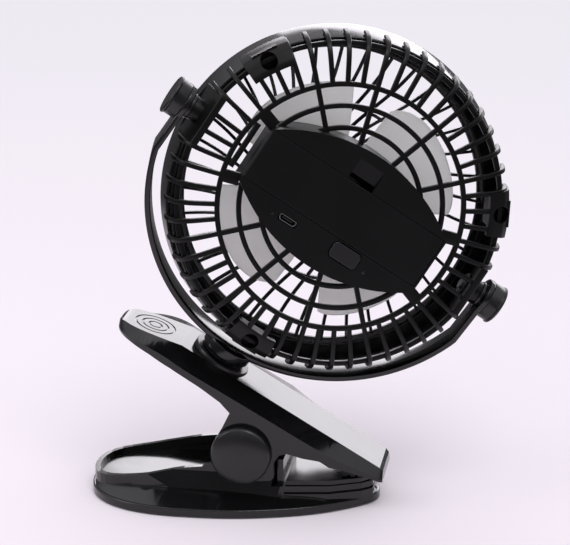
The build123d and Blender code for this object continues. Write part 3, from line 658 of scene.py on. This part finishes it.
# ------------------------------------------------------------ motor and power
# What the head carries inside: a plain steel motor can in its plastic cover, one
# cell in a glossy shrunk sleeve on a cradle with sprung wire contacts, and a small
# board whose solder mask is green, smooth and slightly glossy.
inner_abs = moulded("plain black ABS", "#111112", 0.45, 0.4, 0.006)
edged("motor_cover", inner_abs, 0.25)
edged("cell_cradle", inner_abs, 0.2)
edged("tact_switch", inner_abs, 0.1)
edged("motor_can", ground_steel, 0.4)
edged("motor_shaft", ground_steel, 0)
edged("cover_screws", ground_steel, 0.08)
edged("cell_contacts", drawn_wire, 0.1)
cell_sleeve = moulded("shrink sleeve", "#2a5c9c", 0.22, 0.8, 0.004, 0.02)
edged("battery_cell", cell_sleeve, 0.4)
solder_mask = moulded("green solder mask", "#12391f", 0.3, 0.5, 0.004)
edged("circuit_board", solder_mask, 0.08)


# ------------------------------------------------------------ impeller
# Four wide blades on a cup-shaped hub, one moulding in warm white ABS with a
# satin face. The blades are thin enough to let light through, so they stay pale
# from both sides, and their corners are round.
blade_abs = moulded("pale warm ABS", "#faf7f1", 0.42, 0.6, 0.004, glow_through=1.0)
BLADES, FIRST_BLADE, BLADE_SPAN = 4, 57.5, 72.0
BLADE_ROOT, BLADE_R, BLADE_THICK = 14.6, 48.0, 1.3
BLADE_Z, BLADE_PITCH, BLADE_CAMBER = -7.6, 5.0, 0.9
TIP_NARROWER, TIP_FLATTER = 0.10, 0.25
TRAIL_CUT, CORNER_CUT = 0.15, 0.05
ROUND_STEPS, OUT_STEPS = 32, 24
mesh = bmesh.new()
grid = []
for i in range(ROUND_STEPS + 1):
    lead = 2 * i / ROUND_STEPS - 1
    corner = 1 - TRAIL_CUT * max(0.0, lead) ** 3 - CORNER_CUT * abs(lead) ** 8
    row = []
    for j in range(OUT_STEPS + 1):
        t = j / OUT_STEPS
        r = BLADE_ROOT + (BLADE_R - BLADE_ROOT) * corner * t
        angle = math.radians(lead * (BLADE_SPAN / 2) * (1 - TIP_NARROWER * t))
        z = BLADE_Z - BLADE_PITCH * lead * (1 - TIP_FLATTER * t) + BLADE_CAMBER * (1 - lead ** 2) * t
        row.append(mesh.verts.new((r * math.cos(angle), r * math.sin(angle), z)))
    grid.append(row)
for i in range(ROUND_STEPS):
    for j in range(OUT_STEPS):
        mesh.faces.new((grid[i][j], grid[i + 1][j], grid[i + 1][j + 1], grid[i][j + 1]))
blades = copied_round("blades", mesh, BLADES, FIRST_BLADE, 360 / BLADES, HEAD,
                      "impeller", blade_abs)
skin = blades.modifiers.new("thickness", "SOLIDIFY")
skin.thickness = BLADE_THICK * MM
skin.offset = 0
soften(blades, 0.45, 50, 2)
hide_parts("impeller")

# The hub's profile, as radius and height.
hub = [(1.05, -14.2), (13.8, -14.2), (16.0, -13.0), (16.0, -0.9), (14.4, -0.9), (14.4, -12.4), (3.0, -12.4),
       (3.0, -9.6), (1.05, -9.6)]
mesh = bmesh.new()
lathe(mesh, soft_corners(hub, 0.5, 3), 96)
piece_from("impeller_hub", mesh, HEAD, "impeller", blade_abs)


# ------------------------------------------------------------ front guard
# A deep round band closes the cage from the front, with a turned-in lip and 36
# curved ribs that meet in a disc. Polished black ABS, held by three screws.
BAND_LOW, BAND_TOP = -16.0, 4.0
band = [(67.4, BAND_LOW), (69.6, BAND_LOW), (69.6, BAND_LOW + 0.4), (66.6, BAND_TOP), (64.8, BAND_TOP),
        (67.4, BAND_LOW + 3)]
lip = [(60.0, BAND_LOW - 2.2), (66.6, BAND_LOW - 2.2), (68.0, BAND_LOW - 1.4), (68.0, BAND_LOW + 1.0),
       (67.6, BAND_LOW + 2.0), (62.4, BAND_LOW + 2.0), (60.0, BAND_LOW)]
mesh = bmesh.new()
lathe(mesh, soft_corners(band, 0.5, 3), 192)
lathe(mesh, soft_corners(lip, 0.6, 3), 192)
guard_band = piece_from("guard_band", mesh, HEAD, "head", polished_abs)

# The flats of the cage reach down into the band, so it is open there. The cutter
# starts inside the band and ends outside it and above it.
FLAT_GAP, FLAT_FOOT, FLAT_HEAD = 0.2, -9.65, 12
FLAT_IN, FLAT_OUT = 61, 72
half = FLAT_HALF + FLAT_GAP
mesh = bmesh.new()
for side in (-1, 1):
    shape = [(side * x, side * y) for x, y in box_outline(FLAT_IN, FLAT_OUT, -half, half)]
    prism(mesh, shape, FLAT_FOOT, FLAT_HEAD)
cut_away(guard_band, mesh, HEAD)
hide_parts("front_grille")

GUARD_SPHERE, GUARD_FRONT = 260.0, -24.4
GUARD_DEEP, GUARD_WIDE = 2.0, 1.3


def guard_point(r, degrees):
    """A point in the middle of the domed guard."""
    z = GUARD_FRONT + GUARD_SPHERE - math.sqrt(GUARD_SPHERE ** 2 - r ** 2) + GUARD_DEEP / 2
    angle = math.radians(degrees)
    return Vector((r * math.cos(angle), r * math.sin(angle), z))


GUARD_RIBS, GUARD_STEPS = 36, 16
GUARD_FROM, GUARD_RUN = 13.0, 48.5
GUARD_SWEEP, GUARD_BOW = 34, 9.0
mesh = bmesh.new()
path = []
for i in range(GUARD_STEPS + 1):
    t = i / GUARD_STEPS
    bend = GUARD_SWEEP * (1 - t) - GUARD_BOW * math.sin(math.pi * t)
    path.append(guard_point(GUARD_FROM + GUARD_RUN * t, bend))
swept(mesh, path, box_section(GUARD_DEEP, GUARD_WIDE, 0.35), Vector((0, 0, 1)))
copied_round("guard_ribs", mesh, GUARD_RIBS, 0, 360 / GUARD_RIBS, HEAD,
             "head", polished_abs)

RING_IN, RING_OUT, DISC_R = 35.4, 36.8, 14.5
ring_low = guard_point((RING_IN + RING_OUT) / 2, 0).z - GUARD_DEEP / 2
disc = [(0, GUARD_FRONT), (DISC_R, GUARD_FRONT + 0.4), (DISC_R, GUARD_FRONT + 2.3), (0, GUARD_FRONT + 1.9)]
mesh = bmesh.new()
lathe(mesh, soft_corners(box_outline(RING_IN, RING_OUT, ring_low, ring_low + GUARD_DEEP), 0.4, 3), 128)
lathe(mesh, disc, 96)
piece_from("guard_rings", mesh, HEAD, "head", polished_abs)
edged("front_cap", polished_abs, 0.2)


# ------------------------------------------------------------ studio
# A plain pale floor, an even pale room and two weak softboxes. The camera stands
# where the photograph was taken from, and its lens comes from the fitted focal
# length in pixels of a picture 570 wide.
CAMERA_AT = Vector((156.3, -852.3, 350.8)) * MM
AIM_AT = Vector((21.3, 0.0, 95.2)) * MM
FOCAL_PIXELS, PICTURE_WIDE, SENSOR_WIDE = 2222, 570, 36


def lamp(name, at, aim, size, power):
    """Square softbox; places and size in metres, power in watts."""
    data = bpy.data.lights.new(name, "AREA")
    data.size, data.energy = size, power
    light = bpy.data.objects.new(name, data)
    light.location = at
    light.rotation_euler = (Vector(aim) - Vector(at)).to_track_quat("-Z", "Y").to_euler()
    bpy.context.scene.collection.objects.link(light)


camera_data = bpy.data.cameras.new("camera")
camera_data.lens = FOCAL_PIXELS * SENSOR_WIDE / PICTURE_WIDE
camera_data.sensor_width = SENSOR_WIDE
camera_data.clip_start = 0.05
camera = bpy.data.objects.new("camera", camera_data)
camera.location = CAMERA_AT
camera.rotation_euler = (AIM_AT - CAMERA_AT).to_track_quat("-Z", "Y").to_euler()
bpy.context.scene.collection.objects.link(camera)
bpy.context.scene.camera = camera
bpy.context.scene.view_settings.view_transform = "Standard"

# The world lights the object evenly at a strength of 1. Reflections alone see a
# darker room, which grows lighter from the horizon up to the ceiling.
HORIZON, CEILING = 0.12, 0.8
HORIZON_STRENGTH, CEILING_STRENGTH = 0.14, 1.0
world = bpy.data.worlds.new("studio")
world.use_nodes = True
world.node_tree.nodes.clear()
tree = world.node_tree
ray = add(tree, "ShaderNodeLightPath")
height = add(tree, "ShaderNodeSeparateXYZ", {0: add(tree, "ShaderNodeTexCoord").outputs["Generated"]})
ceiling = add(tree, "ShaderNodeMapRange", {"Value": height.outputs["Z"], "From Min": HORIZON,
                                           "From Max": CEILING, "To Min": HORIZON_STRENGTH,
                                           "To Max": CEILING_STRENGTH},
              interpolation_type="SMOOTHSTEP")
room = add(tree, "ShaderNodeBackground", {"Color": linear("#f7f4fa"),
                                          "Strength": ceiling.outputs["Result"]})
plain = add(tree, "ShaderNodeBackground", {"Color": linear("#f7f6fa"), "Strength": 1.0})
bright = add(tree, "ShaderNodeBackground", {"Color": linear("#f6f5fb"), "Strength": 1.0})
clear = add(tree, "ShaderNodeMath", {0: ray.outputs["Is Camera Ray"],
                                     1: ray.outputs["Is Transmission Ray"]}, operation="MAXIMUM")
mirror = add(tree, "ShaderNodeMixShader", {0: ray.outputs["Is Glossy Ray"], 1: plain.outputs[0],
                                           2: room.outputs[0]})
mix = add(tree, "ShaderNodeMixShader", {0: clear.outputs[0], 1: mirror.outputs[0], 2: bright.outputs[0]})
add(tree, "ShaderNodeOutputWorld", {"Surface": mix.outputs[0]})
bpy.context.scene.world = world
world.cycles.sampling_method = "NONE"

lamp("key", (0.35, -0.5, 1.1), (0.02, 0, 0.1), 0.5, 3)
lamp("side", (-0.8, -0.3, 0.6), (0.02, 0, 0.1), 0.4, 1.5)

# A lit wall behind the object, which reflections alone see: it makes the long
# bright streaks on the polished parts. It lights nothing and casts no shadow.
WALL_X, WALL_Y, WALL_Z = (-0.5, 1.9), 1.5, (0.3, 0.85)
WALL_STRENGTH = 4.9
wall_mesh = bpy.data.meshes.new("pale_wall")
wall_mesh.from_pydata([(x, WALL_Y, z) for x, z in box_outline(*WALL_X, *WALL_Z)], [], [(0, 1, 2, 3)])
material, tree = new_material("lit pale wall")
glow = add(tree, "ShaderNodeEmission", {"Color": linear("#f7f3f9"), "Strength": WALL_STRENGTH})
add(tree, "ShaderNodeOutputMaterial", {"Surface": glow.outputs[0]})
wall_mesh.materials.append(material)
wall = bpy.data.objects.new("pale_wall", wall_mesh)
bpy.context.scene.collection.objects.link(wall)
wall.visible_camera = wall.visible_diffuse = wall.visible_shadow = False
wall.visible_transmission = wall.visible_volume_scatter = False

# The floor's colour is painted a little darker and pinker towards the front than towards
# the back: painted shade. Reflections alone see its colour painted darker away from the
# object: painted shade, like the unlit floor beyond a lit table.
FLOOR_HALF = 6.0
PAINTED_SHADE_FROM, PAINTED_SHADE_FULL, PAINTED_SHADE_MOST = 0.22, 0.5, 0.88
floor_mesh = bpy.data.meshes.new("floor")
sheet = bmesh.new()
bmesh.ops.create_grid(sheet, x_segments=1, y_segments=1, size=FLOOR_HALF)
sheet.to_mesh(floor_mesh)
sheet.free()
floor = bpy.data.objects.new("floor", floor_mesh)
bpy.context.scene.collection.objects.link(floor)
material, tree = new_material("floor")
place = add(tree, "ShaderNodeTexCoord").outputs["Object"]
across = add(tree, "ShaderNodeSeparateXYZ", {0: place}).outputs["Y"]
# Painted shade: the floor's colour turns darker and pinker towards the front.
far = add(tree, "ShaderNodeMapRange", {"Value": across, "From Min": -0.2, "From Max": 1.2})
color = add(tree, "ShaderNodeMix", {"Factor": far.outputs["Result"], 6: linear("#eee5ed"),
                                    7: linear("#f0eef2")}, data_type="RGBA")
radius = add(tree, "ShaderNodeVectorMath", {0: place}, operation="LENGTH")
# Painted shade: for reflections alone the floor's colour goes dark away from the object.
beyond = add(tree, "ShaderNodeMapRange", {"Value": radius.outputs["Value"], "From Min": PAINTED_SHADE_FROM,
                                          "From Max": PAINTED_SHADE_FULL, "To Max": PAINTED_SHADE_MOST})
mirrored = add(tree, "ShaderNodeLightPath").outputs["Is Glossy Ray"]
painted_shade = add(tree, "ShaderNodeMath", {0: beyond.outputs["Result"], 1: mirrored}, operation="MULTIPLY")
shaded_color = add(tree, "ShaderNodeMix", {"Factor": painted_shade.outputs[0], 6: color.outputs[2],
                                    7: linear("#2c2a2c")}, data_type="RGBA")
shader = add(tree, "ShaderNodeBsdfDiffuse", {"Color": shaded_color.outputs[2]})
add(tree, "ShaderNodeOutputMaterial", {"Surface": shader.outputs["BSDF"]})
floor_mesh.materials.append(material)

bpy.context.view_layer.update()
